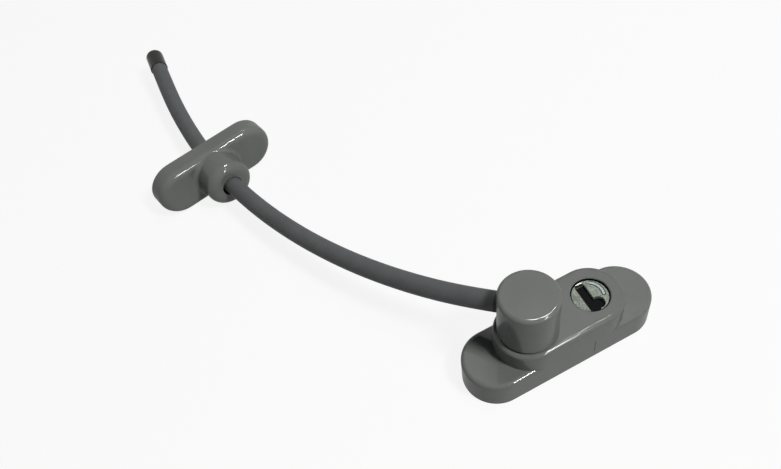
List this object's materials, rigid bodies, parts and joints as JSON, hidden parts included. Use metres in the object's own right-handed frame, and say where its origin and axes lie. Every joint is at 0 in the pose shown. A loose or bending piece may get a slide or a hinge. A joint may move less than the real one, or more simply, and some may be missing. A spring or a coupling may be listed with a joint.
{
  "type": "cable window restrictor",
  "caption": "Keyed cable window restrictor: stepped lock body with round-ended base, plug-in swivel cable head, coated cable with a ferrule and a sliding round-ended sash bracket with a boss.",
  "frame": {"origin": "middle of the lock body's mounting face, on the base plate's underside", "axes": "+Z leaves the window frame through the lock body, +X runs along the body from the cable head to the key"},
  "size_m": [0.1176, 0.1947, 0.0323],
  "materials": {
    "grey_paint": "semi-gloss grey coat",
    "grey_jacket": "matte cable jacket",
    "black_gloss": "gloss",
    "black_trim": "matte",
    "plug_metal": "fine blasted",
    "steel": "zinc plated"
  },
  "bodies": {
    "lock_body": {"lock_housing": "grey_paint", "base_plate": "steel", "keeper_plate": "steel", "keeper_screws": "steel", "plug_washer": "steel", "detent_ball": "steel", "detent_spring": "steel"},
    "plug": {"lock_plug": "plug_metal", "keyway_core": "black_gloss"},
    "bolt": {"locking_bolt": "steel"},
    "spigot": {"head_spigot": "steel", "spigot_clip": "steel", "head_ring": "black_trim"},
    "head": {"cable_head": "grey_paint", "head_base_disc": "steel", "cable_anchor": "steel", "cable": "grey_jacket", "end_ferrule": "black_gloss"},
    "bracket": {"bracket_cover": "grey_paint", "bracket_base": "steel"}
  },
  "joints": [
    {"name": "key_turn", "type": "hinge", "parent": "lock_body", "child": "plug", "pos_m": [0.0106, 0, 0.012], "axis": [0, 0, 1], "range_deg": [0, 90]},
    {"name": "bolt_slide", "type": "slide", "parent": "lock_body", "child": "bolt", "axis": [-1, 0, 0], "range_m": [0, 0.00283]},
    {"name": "head_release", "type": "slide", "parent": "lock_body", "child": "spigot", "axis": [0, 0, 1], "range_m": [0, 0.02]},
    {"name": "head_swivel", "type": "hinge", "parent": "spigot", "child": "head", "pos_m": [-0.0102, 0, 0.0165], "axis": [0, 0, 1], "continuous": true},
    {"name": "bracket_slide", "type": "hinge", "parent": "head", "child": "bracket", "pos_m": [0.12939, 0.14664, 0.08698], "axis": [0.3691, 0.0387, -0.9286], "range_deg": [-20.67, 14.96]}
  ],
  "couplings": [
    {"joint": "bolt_slide", "follows": "key_turn", "m_per_rad": 0.0018006}
  ]
}
